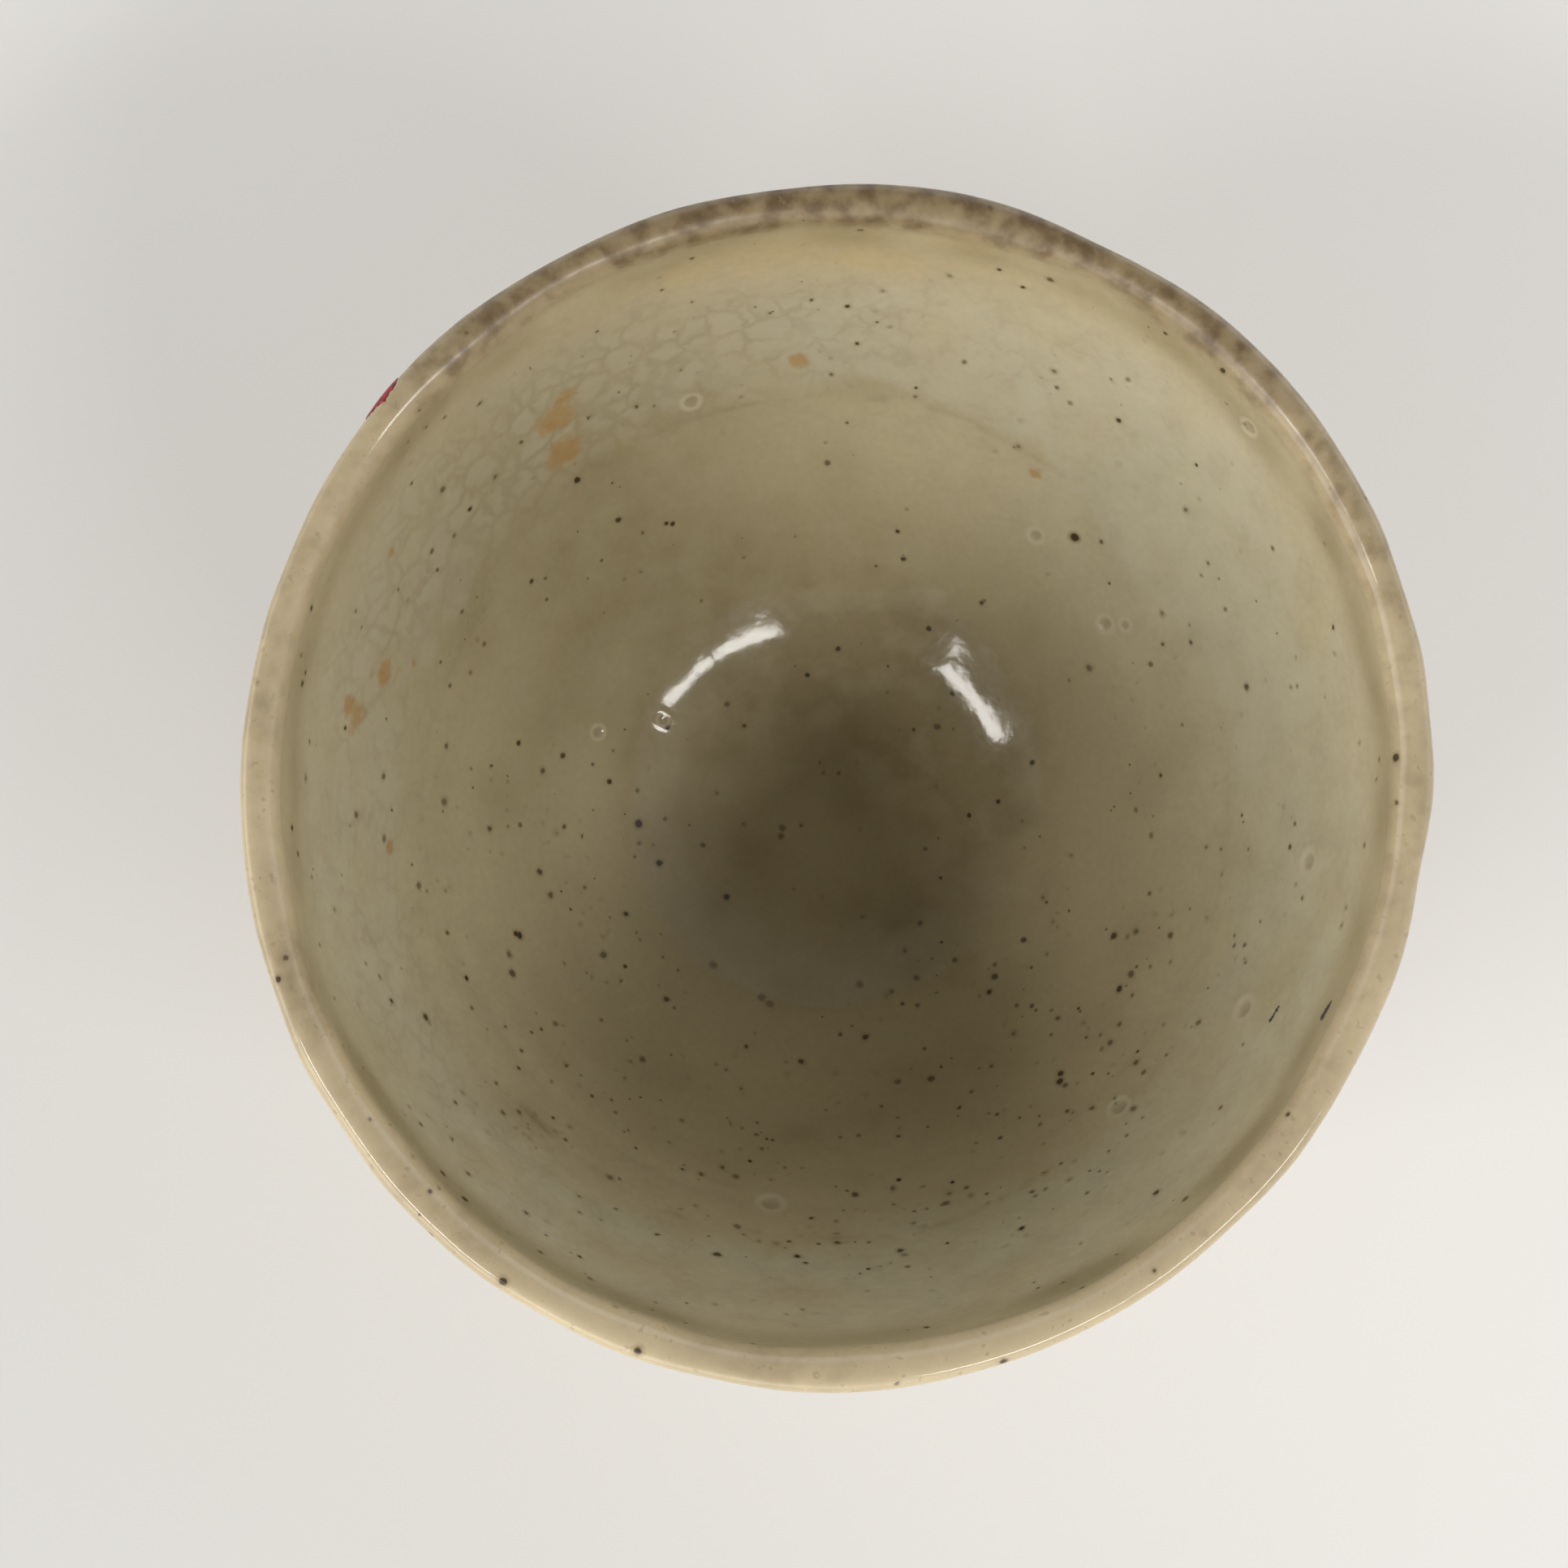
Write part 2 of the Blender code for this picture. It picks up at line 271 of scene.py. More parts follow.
def hand_thrown(radius, height, direction):
    """Where the potter's hands left a point of the true turned form."""
    share = smooth_step((height - STRAIGHT_BELOW) / (HEIGHT - STRAIGHT_BELOW))
    reach = smooth_step(radius / INNER_WALL_RADIUS)
    oval = OVAL_AMOUNT * np.cos(2 * (direction - OVAL_DIRECTION))
    dent = hump(turn_difference(direction, DENT_DIRECTION), 0.0, DENT_HALF_WIDTH)
    scale = 1 + share * reach * (oval - dent * DENT_DEPTH / RIM_RADIUS)
    rise = share * reach * (RIM_WAVE_HEIGHT * np.sin(RIM_WAVES * direction) - dent * DENT_DEPTH)
    return np.stack(
        [radius * scale * np.cos(direction), radius * scale * np.sin(direction), height + rise], -1
    )


def soft_noise(places, wavelength, seed):
    """Smooth noise of about unit height: a sum of plane waves near one wavelength."""
    rng = np.random.default_rng(seed)
    headings = rng.normal(size=(NOISE_WAVES, 3))
    headings /= np.linalg.norm(headings, axis=1)[:, None]
    rates = 2 * pi / (wavelength * rng.uniform(0.65, 1.5, NOISE_WAVES))
    shifts = rng.uniform(0, 2 * pi, NOISE_WAVES)
    total = np.zeros(places.shape[:-1])
    for heading, rate, shift in zip(headings, rates, shifts):
        total += np.sin(places @ (heading * rate) + shift)
    return total / (NOISE_WAVES / 2) ** 0.5


def layered_noise(places, layers):
    return sum(height * soft_noise(places, wavelength, seed) for height, wavelength, seed in layers)


def turned_place(direction, climb):
    """(radius, height, places) of the true turned form, before warp and relief."""
    radius = np.interp(climb, CLIMB, LINE[:, 0])
    height = np.interp(climb, CLIMB, LINE[:, 1])
    places = np.stack([radius * np.cos(direction), radius * np.sin(direction), height], -1)
    return radius, height, places


def pit_relief(places):
    """Small craters with a raised rim, where bubbles broke through the glaze."""
    total = np.zeros(places.shape[:-1])
    for direction, climb, size in PITS:
        _, _, middle = turned_place(radians(direction), climb * MM)
        away = np.linalg.norm(places - middle, axis=-1) / (size * MM)
        total += size * MM * (0.10 * hump(away, 1.15, 0.45) - 0.22 * hump(away, 0.0, 0.75))
    return total


def throwing_ridges(direction, climb, radius, places):
    """The spiral that the potter's fingers left, fading out toward the middle of the well."""
    uneven = 0.6 + 0.4 * soft_noise(places, 34 * MM, 3)
    spiral = 2 * pi * climb / THROWING_PITCH + direction + 0.6 * soft_noise(places, 28 * MM, 5)
    outward = smooth_step((radius - RIDGES_FROM_RADIUS) / RIDGES_FADE)
    return THROWING_RIDGE * uneven * np.sin(spiral) * outward


def inside_relief(radius, height, climb, places):
    """A scraped ring on the wall, the step down into the well, the groove under the lip and the pits."""
    ring_line = RING_HEIGHT + RING_WANDER * soft_noise(places, 40 * MM, 19)
    uneven = 0.6 + 0.4 * soft_noise(places, 20 * MM, 23)
    ring = RING_DEPTH * hump(height, ring_line, RING_HALF_WIDTH) * uneven
    well = WELL_STEP * (1 - smooth_step((radius - WELL_RADIUS) / WELL_SLOPE + 0.5))
    groove = GROOVE_DEPTH * hump(climb, LIP_START - GROOVE_BELOW_LIP, GROOVE_HALF_WIDTH)
    return pit_relief(places) - ring - well - groove


def relief(direction, climb):
    """How far the made surface stands off the turned line."""
    radius, height, places = turned_place(direction, climb)
    off_lip = smooth_step((np.abs(climb - LIP_CREST) - LIP_HALF_WIDTH) / (2 * LIP_HALF_WIDTH))
    ridges = throwing_ridges(direction, climb, radius, places) * off_lip
    wobble = layered_noise(places, LIP_WOBBLE) * (1 - off_lip)
    inside_only = np.where(climb < LIP_START, inside_relief(radius, height, climb, places), 0.0)
    return ridges + layered_noise(places, SWELL_AND_PEEL) + wobble + inside_only


def surface(direction, climb, lift=0.0, raw=False):
    """Points of the made surface. lift moves them along the normal; raw leaves the relief out."""
    direction, climb = np.broadcast_arrays(direction, climb)
    radius = np.interp(climb, CLIMB, LINE[:, 0])
    height = np.interp(climb, CLIMB, LINE[:, 1])
    out_radius = -np.interp(climb, CLIMB, ALONG[:, 1])
    out_height = np.interp(climb, CLIMB, ALONG[:, 0])
    off = lift if raw else lift + relief(direction, climb)
    return hand_thrown(radius + out_radius * off, height + out_height * off, direction)


def turns(count):
    return np.arange(count) * 2 * pi / count


def rows_between(first, last, pitch):
    return np.linspace(first, last, max(int(round(abs(last - first) / pitch)), 1) + 1)[:, None]


# Building meshes and pieces.


def grid_mesh(name, rows, start_pole=None, end_pole=None, loop=False):
    """A mesh through rows of points that go round Z. Poles close its ends; loop joins last to first."""
    count, turn_count = rows.shape[:2]
    points = rows.reshape(-1, 3)
    column = np.arange(turn_count)
    after = (column + 1) % turn_count
    row_pairs = [(row, row + 1) for row in range(count - 1)]
    if loop:
        row_pairs.append((count - 1, 0))
    quads = []
    for row, next_row in row_pairs:
        here = row * turn_count
        there = next_row * turn_count
        quads.append(np.stack([here + column, here + after, there + after, there + column], 1))
    faces = np.concatenate(quads).tolist()
    poles = []
    for pole, row, order in ((start_pole, 0, -1), (end_pole, count - 1, 1)):
        if pole is None:
            continue
        index = len(points) + len(poles)
        poles.append(pole)
        ring = np.stack([row * turn_count + column, row * turn_count + after], 1)[:, ::order]
        faces += [[int(a), int(b), index] for a, b in ring]
    if poles:
        points = np.concatenate([points, np.array(poles)])
    mesh = bpy.data.meshes.new(name)
    mesh.from_pydata(points.tolist(), [], faces)
    mesh.validate()
    mesh.shade_smooth()
    return mesh


def add_piece(name, mesh, made_of, slot, *nodes):
    piece = bpy.data.objects.new(name, mesh)
    bpy.context.scene.collection.objects.link(piece)
    mesh.materials.append(made_of)
    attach(piece, "root")
    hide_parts(*nodes)
    return piece


def tuck(climb, edge, outward):
    """How deep a coat's edge slides under its neighbour, past the climb where they meet."""
    return -TUCK_DEPTH * smooth_step((climb - edge) * outward / TUCK_WIDTH)


def inner_glaze_piece(made_of):
    """The inner coat, from the middle of the floor up to the lip, where it tucks under the lip's coat."""
    direction = turns(WALL_TURNS)[None, :]
    climb = rows_between(WALL_PITCH, LIP_START + TUCK_WIDTH, WALL_PITCH)
    top = surface(direction, climb, tuck(climb, LIP_START, 1))
    under_climb = rows_between(LIP_START + TUCK_WIDTH, 2 * MM, LIP_START / UNDERSIDE_ROWS)
    under = surface(direction, under_climb, -GLAZE_THICKNESS, raw=True)
    pole = surface(0.0, 0.0).tolist()
    under_pole = surface(0.0, 0.0, -GLAZE_THICKNESS, raw=True).tolist()
    mesh = grid_mesh("inner_glaze_coat", np.concatenate([top, under]), pole, under_pole)
    mesh.set_sharp_from_angle(angle=CREASE_ANGLE)
    paint(mesh, direction, np.concatenate([climb, under_climb]), [0.0, 0.0])
    return add_piece("inner_glaze_coat", mesh, made_of, "celadon_glaze", "inner_glaze")


def lip_glaze_piece(made_of):
    """The coat over the lip. Its edges tuck under its neighbours', where theirs tuck under it."""
    direction = turns(LIP_TURNS)[None, :]
    climb = rows_between(LIP_START - TUCK_WIDTH, WALL_TOP + TUCK_WIDTH, LIP_PITCH)
    lift = tuck(climb, LIP_START, -1) + tuck(climb, WALL_TOP, 1)
    top = surface(direction, climb, lift)
    under_pitch = (WALL_TOP - LIP_START) / LIP_UNDERSIDE_ROWS
    under_climb = rows_between(WALL_TOP + TUCK_WIDTH, LIP_START - TUCK_WIDTH, under_pitch)
    under = surface(direction, under_climb, -GLAZE_THICKNESS, raw=True)
    mesh = grid_mesh("lip_glaze_coat", np.concatenate([top, under]), loop=True)
    mesh.set_sharp_from_angle(angle=CREASE_ANGLE)
    paint(mesh, direction, np.concatenate([climb, under_climb]))
    return add_piece("lip_glaze_coat", mesh, made_of, "warm_lip_glaze", "lip_glaze")


def glaze_edge(direction):
    """The climb at which the outer glaze stops: a wavy line with short runs below it."""
    _, _, places = turned_place(direction, GLAZE_LINE + 0 * direction)
    runs = sum(length * direction_hump(direction, at, width) for length, at, width in GLAZE_RUNS)
    return np.minimum(GLAZE_LINE + layered_noise(places, GLAZE_EDGE_WAVE) + runs, LINE_END - BARE_CLAY_KEPT)


def outer_glaze_piece(made_of):
    """The outer coat, which thickens to a bead at its lower edge and rolls under it."""
    direction = turns(WALL_TURNS)[None, :]
    edge = glaze_edge(direction)
    start = WALL_TOP - TUCK_WIDTH
    share = np.linspace(0, 1, int((GLAZE_LINE - WALL_TOP) / WALL_PITCH))[:, None]
    climb = start + share * (edge - start)
    bead = BEAD_HEIGHT * smooth_step((climb - edge) / BEAD_WIDTH + 1)
    top = surface(direction, climb, tuck(climb, WALL_TOP, -1) + bead)
    roll = np.linspace(0, pi / 2, 8)[1:, None]
    edge_thickness = GLAZE_THICKNESS + BEAD_HEIGHT
    nose_climb = edge + NOSE_REACH * edge_thickness * np.sin(roll)
    nose = surface(direction, nose_climb, edge_thickness * np.cos(roll) - GLAZE_THICKNESS)
    under_climb = start + np.linspace(1, 0, UNDERSIDE_ROWS)[:, None] * (edge - start)
    under = surface(direction, under_climb, -GLAZE_THICKNESS, raw=True)
    mesh = grid_mesh("outer_glaze_coat", np.concatenate([top, nose, under]), loop=True)
    mesh.set_sharp_from_angle(angle=CREASE_ANGLE)
    paint(mesh, direction, np.concatenate([climb, edge + 0 * roll, under_climb]))
    return add_piece("outer_glaze_coat", mesh, made_of, "outer_glaze", "outer_glaze")


def clay_relief(places, along):
    """Turning lines, a pitch apart in this distance along the clay, and fine grain."""
    wander = 1.5 * soft_noise(places, 20 * MM, 37)
    lines = CLAY_LINE_HEIGHT * np.sin(2 * pi * along / CLAY_LINE_PITCH + wander)
    return lines + layered_noise(places, CLAY_GRAIN)


def clay_fillet(direction):
    """From the end of the turned line round and down to the top of the foot ring."""
    _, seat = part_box("foot_ring")
    seat_radius = seat.x + 0.1 * MM
    turn = np.linspace(0, pi / 2, 10)[1:, None]
    last_radius = np.interp(LINE_END, CLIMB, LINE[:, 0]) - 0.6 * MM
    last_height = np.interp(LINE_END, CLIMB, LINE[:, 1]) - 0.7 * MM
    radius = seat_radius + (last_radius - seat_radius) * (1 - np.sin(turn))
    height = seat.z + (last_height - seat.z) * np.cos(turn)
    return hand_thrown(radius + 0 * direction, height + 0 * direction, direction)


def foot_ceiling(direction):
    """The clay inside the foot ring, swirled by the turning tool, with a small drop at its middle."""
    _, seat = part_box("foot_ring")
    radius = rows_between(seat.x + 0.1 * MM - 0.4 * MM, 1 * MM, CLAY_PITCH)
    height = FOOT_SEAT_HEIGHT + 0 * (radius + direction)
    flat = np.stack([radius * np.cos(direction), radius * np.sin(direction), height], -1)
    swirl = SWIRL_HEIGHT * np.sin(2 * pi * radius / SWIRL_PITCH - direction)
    drop = -DROP_DEPTH * hump(radius, 0.0, DROP_HALF_WIDTH) + 0 * direction
    inside_ring = smooth_step((FOOT_INNER_RADIUS - 1 * MM - radius) / (2 * MM))
    flat[..., 2] += (swirl + clay_relief(flat, radius)) * inside_ring + drop
    return flat


def clay_body_piece(made_of):
    """The clay: plain under the glaze coats, and with its own relief where it is bare."""
    direction = turns(CLAY_TURNS)[None, :]
    first_shown = GLAZE_LINE - CLAY_ABOVE_GLAZE_LINE
    hidden = rows_between(3 * MM, first_shown, HIDDEN_CLAY_PITCH)
    covered_depth = -GLAZE_THICKNESS - CLAY_CLEARANCE
    covered = surface(direction, hidden, covered_depth, raw=True)
    bare = rows_between(first_shown + CLAY_PITCH, LINE_END, CLAY_PITCH)
    _, _, places = turned_place(direction, bare + 0 * direction)
    shown_depth = -GLAZE_THICKNESS - SHOWN_CLAY_CLEARANCE + clay_relief(places, bare)
    shown = surface(direction, bare, shown_depth, raw=True)
    rows = np.concatenate([covered, shown, clay_fillet(direction), foot_ceiling(direction)])
    start_pole = surface(0.0, 0.0, covered_depth, raw=True).tolist()
    mesh = grid_mesh("clay_body_bare", rows, start_pole, [0.0, 0.0, FOOT_SEAT_HEIGHT - DROP_DEPTH])
    return add_piece("clay_body_bare", mesh, made_of, "stoneware_clay", "clay_body")


def foot_outline(low_height, outer_top):
    """The ring's section as (radius, height) points: tapered sides and rounded standing edges."""
    top = FOOT_SEAT_HEIGHT + FOOT_OVERLAP
    inner_top = FOOT_INNER_RADIUS - FOOT_FLARE
    outer_foot = outer_top - FOOT_FLARE
    inner_foot = inner_top + FOOT_FLARE
    turn = np.linspace(0, pi / 2, 7)
    inward = FOOT_EDGE * (1 - np.cos(turn))
    upward = FOOT_EDGE * (1 - np.sin(turn))
    standing = np.linspace(outer_foot - FOOT_EDGE, inner_foot + FOOT_EDGE, 8)
    return np.concatenate(
        [
            np.stack([np.linspace(inner_top, outer_top, 8), np.full(8, top)], 1),
            np.stack([np.linspace(outer_top, outer_foot, 14), np.linspace(top, FOOT_EDGE, 14)], 1)[1:],
            np.stack([outer_foot - inward, upward], 1)[1:],
            np.stack([standing, np.full(8, low_height)], 1)[1:],
            np.stack([inner_foot + upward, inward], 1)[1:],
            np.stack([np.linspace(inner_foot, inner_top, 14), np.linspace(FOOT_EDGE, top, 14)], 1)[1:-1],
        ]
    )


def foot_ring_piece(made_of):
    """The foot ring, with turning lines on its sides and a few nicks near its standing edges."""
    low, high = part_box("foot_ring")
    outline = foot_outline(low.z, high.x)
    direction = turns(CLAY_TURNS)[None, :]
    radius = outline[:, 0:1] + 0 * direction
    height = outline[:, 1:2] + 0 * direction
    places = np.stack([radius * np.cos(direction), radius * np.sin(direction), height], -1)
    middle = (FOOT_INNER_RADIUS + high.x - FOOT_FLARE) / 2
    side = np.sign(radius - middle)
    standing = smooth_step((height - low.z) / (1.5 * MM))
    radius = radius + side * standing * clay_relief(places, height) * 1.3
    nicks = sum(direction_hump(direction, at, 1.6) for at in NICK_DIRECTIONS)
    radius = radius - side * NICK_DEPTH * nicks * hump(height, 0.4 * MM, 0.8 * MM)
    rows = np.stack([radius * np.cos(direction), radius * np.sin(direction), height], -1)
    mesh = grid_mesh("foot_ring_bare", rows, loop=True)
    mesh.set_sharp_from_angle(angle=CREASE_ANGLE)
    return add_piece("foot_ring_bare", mesh, made_of, "foot_clay", "foot_ring")


def enamel_piece(made_of):
    """The red dab: a low cushion of enamel on the lip's shoulder, with a wandering edge."""
    along = np.linspace(-1, 1, DAB_ROWS)[:, None]
    around = np.linspace(0, 2 * pi, DAB_TURNS + 1)[None, :-1]
    drawn_out = np.sqrt(np.clip(1 - along**2, 0, 1)) * (1 - 0.3 * along) / (1 + 0.3 * np.abs(along))
    ragged = 1 + 0.10 * np.sin(9 * along + 1) + 0.07 * np.sin(23 * along)
    width = np.maximum(drawn_out * ragged, DAB_NARROWEST) * DAB_HALF_DROP
    climb = LIP_CREST + DAB_PAST_CREST + width * np.cos(around)
    thickness = DAB_THICKNESS * np.sqrt(np.clip(drawn_out, 0, 1))
    lift = thickness * np.where(np.sin(around) > 0, np.sin(around), 0.4 * np.sin(around))
    direction = DAB_DIRECTION + DAB_HALF_SWEEP * along + 0 * around
    rows = surface(direction, climb, lift + DAB_CLEARANCE)
    mesh = grid_mesh("red_enamel_dab", rows, rows[0].mean(0).tolist(), rows[-1].mean(0).tolist())
    return add_piece("red_enamel_dab", mesh, made_of, "red_enamel", "red_enamel_stroke")


# Painted masks: broad colour zones, worked out for each vertex from its direction and climb.


def between(value, low, high, softness):
    return smooth_step((value - low) / softness + 0.5) * smooth_step((high - value) / softness + 0.5)


class Spots:
    """Places on the glaze, with the noises that the masks share. up is the climb in mm."""

    def __init__(self, direction, climb):
        _, _, self.places = turned_place(direction, climb)
        self.direction = direction
        self.up = climb / MM
        self.patchy = soft_noise(self.places, 13 * MM, 53)
        self.cloudy = soft_noise(self.places, 30 * MM, 59)

    def toward(self, at_degrees, half_degrees):
        return direction_hump(self.direction, at_degrees, half_degrees)

    def zones(self, table):
        """Soft patches summed, each (strength, direction and half width, climb and half height)."""
        return sum(
            strength * self.toward(at, half_width) * hump(self.up, up, half_height)
            for strength, at, half_width, up, half_height in table
        )


def pool_edge(spots):
    """The scalloped lower edge, in mm of climb, of the paler glaze that ran down the wall."""
    wander = soft_noise(spots.places, 22 * MM, 47)
    scallop = np.abs(np.sin(8.5 * spots.direction + 1.3 * wander))
    return 65 - 3.2 * scallop + 1.2 * wander + 9 * spots.toward(225, 26) - 6 * spots.toward(30, 40)


def pool_sharpness(spots):
    return 0.35 + 0.65 * spots.toward(150, 75)


def above_pool_edge(spots):
    softness = 9 - 7.5 * pool_sharpness(spots)
    risen = smooth_step((spots.up - pool_edge(spots)) / softness + 0.5)
    return risen * smooth_step((89 - spots.up) / 8)


def celadon_mask(spots):
    """The paler glaze on the upper wall, pooled in a line along its lower edge."""
    pool_line = hump(spots.up, pool_edge(spots) + 0.4, 0.8) * pool_sharpness(spots)
    pool_line *= 0.6 + 0.4 * spots.patchy
    spread = above_pool_edge(spots) * (0.62 + 0.22 * spots.patchy)
    return spread + spots.zones(CELADON_ZONES) + 0.30 * pool_line


def warm_glaze_and_painted_shade_mask(spots):
    """Where the glaze is darker: thin or tea-stained glaze, and painted shade where shade falls, in the well
    and in broad patches above it.
    """
    # Painted shade, with some stain: darker down into the well, a little less so right at its middle.
    in_well = 0.48 * smooth_step((38 - spots.up) / 22) - 0.14 * hump(spots.up, 0, 10)
    round_well = 0.15 * hump(spots.up, 40, 7) * (0.8 + 0.4 * spots.cloudy)
    blotches = 0.07 * np.maximum(spots.patchy, 0) * (1 - above_pool_edge(spots))
    return in_well + round_well + spots.zones(WARM_AND_SHADE_ZONES) + blotches


def yellow_mask(spots):
    strong = 0.8 * spots.toward(90, 22) * between(spots.up, 80, 92, 9) * (0.8 + 0.3 * spots.patchy)
    return strong + 0.35 * spots.toward(95, 55) * between(spots.up, 83, 91, 6)


def stain_mask(spots):
    """Tea stain on the lip, strongest at the top of the inner wall and on one side of the bowl."""
    along_lip = sum(strength * spots.toward(at, width) for strength, at, width in STAINED_LIP)
    heavy = along_lip * (0.62 * between(spots.up, 92, 101, 7) + 0.70 * hump(spots.up, 93.2, 2.2))
    return heavy + 0.12 * between(spots.up, 91, 97, 2) * (1 + spots.cloudy)


def groove_mask(spots):
    return hump(spots.up, 88.3 + 0.5 * spots.cloudy, 2.4) * (0.75 + 0.25 * spots.patchy)


def crackle_mask(spots):
    return spots.zones(CRACKLE_ZONES) + 0.15 * between(spots.up, 50, 91, 14)


def speckle_mask(spots):
    speckle = 0.22 + 0.9 * spots.toward(285, 68) * between(spots.up, 22, 68, 14)
    speckle += 0.6 * spots.toward(205, 32) * between(spots.up, 22, 58, 10)
    return speckle * (0.75 + 0.6 * spots.patchy)


def ring_mask(spots):
    """The dark line that settled in the scraped ring, along two stretches of it."""
    line = hump(spots.up, 60.7 - 2.0 * np.sin(spots.direction) + 0.5 * spots.cloudy, 0.55)
    return line * (spots.toward(252, 42) * (0.7 + 0.5 * spots.patchy) + 0.6 * spots.toward(95, 36))


def masks(direction, climb):
    """Every mask by name. Most give way to a value of their own down the outside."""
    spots = Spots(direction, climb)
    outside = smooth_step((spots.up - 100) / 12)
    inside = 1 - outside
    found = {
        "celadon": celadon_mask(spots) * inside + (0.40 + 0.25 * spots.cloudy) * outside,
        "warm_and_painted_shade": warm_glaze_and_painted_shade_mask(spots) * inside + 0.25 * smooth_step((spots.up - 147) / 30) * outside,
        "yellow": yellow_mask(spots) * inside,
        "lip": smooth_step((spots.up - 90.0) / 2.4) * inside,
        "stain": stain_mask(spots),
        "groove": groove_mask(spots),
        "crackle": crackle_mask(spots) * inside + 0.5 * outside,
        "speckle": speckle_mask(spots) * inside + 0.4 * outside,
        "ring": ring_mask(spots) * inside,
    }
    return {name: np.clip(values, 0.0, 1.0) for name, values in found.items()}


def paint(mesh, direction, climb, pole_climbs=()):
    """Stores every mask on the mesh, whose vertices are the grid's, row by row, and then its poles."""
    direction, climb = np.broadcast_arrays(direction, climb)
    direction = np.concatenate([direction.ravel(), np.zeros(len(pole_climbs))])
    climb = np.concatenate([climb.ravel(), pole_climbs])
    for name, values in masks(direction, climb).items():
        layer = mesh.attributes.new(name, "FLOAT", "POINT")
        layer.data.foreach_set("value", values.astype(np.float32))


# Materials.


class Nodes:
    """Short names for the shader nodes of one material or world."""

    def __init__(self, owner):
        owner.use_nodes = True
        self.tree = owner.node_tree

    def link(self, value, socket):
        if isinstance(value, bpy.types.NodeSocket):
            self.tree.links.new(value, socket)
        else:
            socket.default_value = value

    def new(self, kind):
        return self.tree.nodes.new(kind)

    def vector(self, operation, first, second=None, scale=None):
        node = self.new("ShaderNodeVectorMath")
        node.operation = operation
        self.link(first, node.inputs[0])
        if second is not None:
            self.link(second, node.inputs[1])
        if scale is not None:
            self.link(scale, node.inputs["Scale"])
        return node.outputs["Value" if operation in ("DISTANCE", "DOT_PRODUCT") else "Vector"]

    def math(self, operation, *values):
        node = self.new("ShaderNodeMath")
        node.operation = operation
        for value, socket in zip(values, node.inputs):
            self.link(value, socket)
        return node.outputs[0]

    def times(self, *values):
        product = values[0]
        for value in values[1:]:
            product = self.math("MULTIPLY", product, value)
        return product

    def scaled(self, value, by, plus):
        return self.math("MULTIPLY_ADD", value, by, plus)

    def fade(self, value, at_one, at_zero):
        """1 where value is at_one, 0 where it is at_zero, smooth between."""
        node = self.new("ShaderNodeMapRange")
        node.interpolation_type = "SMOOTHSTEP"
        self.link(value, node.inputs["Value"])
        for name, number in (("From Min", at_zero), ("From Max", at_one), ("To Min", 0.0), ("To Max", 1.0)):
            self.link(number, node.inputs[name])
        return node.outputs["Result"]

    def mask(self, name):
        node = self.new("ShaderNodeAttribute")
        node.attribute_name = name
        return node.outputs["Fac"]

    def noise_node(self, size, detail):
        node = self.new("ShaderNodeTexNoise")
        self.link(self.place, node.inputs["Vector"])
        node.inputs["Scale"].default_value = 1 / size
        node.inputs["Detail"].default_value = detail
        return node

    def noise(self, size, detail=2.0):
        """Noise from 0 to 1, with features of about this size in mm."""
        return self.noise_node(size, detail).outputs["Fac"]

    def shaken(self, size, amount):
        """The position moved about by noise, so that what is drawn with it gets uneven edges."""
        shift = self.noise_node(size, 2.0).outputs["Color"]
        centred = self.vector("SUBTRACT", shift, (0.5, 0.5, 0.5))
        return self.vector("ADD", self.place, self.vector("SCALE", centred, scale=amount))

    def cells(self, size, place, feature="F1"):
        node = self.new("ShaderNodeTexVoronoi")
        node.feature = feature
        self.link(place, node.inputs["Vector"])
        node.inputs["Scale"].default_value = 1 / size
        return node

    def mix(self, share, under, over, blend="MIX"):
        node = self.new("ShaderNodeMix")
        node.data_type = "RGBA"
        node.blend_type = blend
        self.link(share, node.inputs[0])
        for value, socket in ((under, node.inputs[6]), (over, node.inputs[7])):
            self.link(value if isinstance(value, bpy.types.NodeSocket) else (*value, 1.0), socket)
        return node.outputs[2]

    def grey(self, level):
        node = self.new("ShaderNodeCombineColor")
        for channel in node.inputs:
            self.link(level, channel)
        return node.outputs[0]

    def nearest(self, marks):
        """How far off the nearest of these marks is, counted in its own sizes."""
        found = None
        for direction, climb, size in marks:
            middle = surface(radians(direction), climb * MM) / MM
            away = self.vector("DISTANCE", self.place, middle.tolist())
            sizes = self.math("DIVIDE", away, size)
            found = sizes if found is None else self.math("MINIMUM", found, sizes)
        return found

    def bump(self, height, distance, under=None):
        node = self.new("ShaderNodeBump")
        node.inputs["Distance"].default_value = distance
        self.link(height, node.inputs["Height"])
        if under is not None:
            self.link(under, node.inputs["Normal"])
        return node.outputs["Normal"]


class MaterialNodes(Nodes):
    """A material's nodes, with its shader and the position on the bowl in millimetres."""

    def __init__(self, name):
        self.material = bpy.data.materials.new(name)
        super().__init__(self.material)
        self.shader = self.tree.nodes["Principled BSDF"]
        self.place = self.vector("SCALE", self.new("ShaderNodeTexCoord").outputs["Object"], scale=1 / MM)


CREAM = (0.456, 0.396, 0.252)
CELADON = (0.470, 0.425, 0.300)
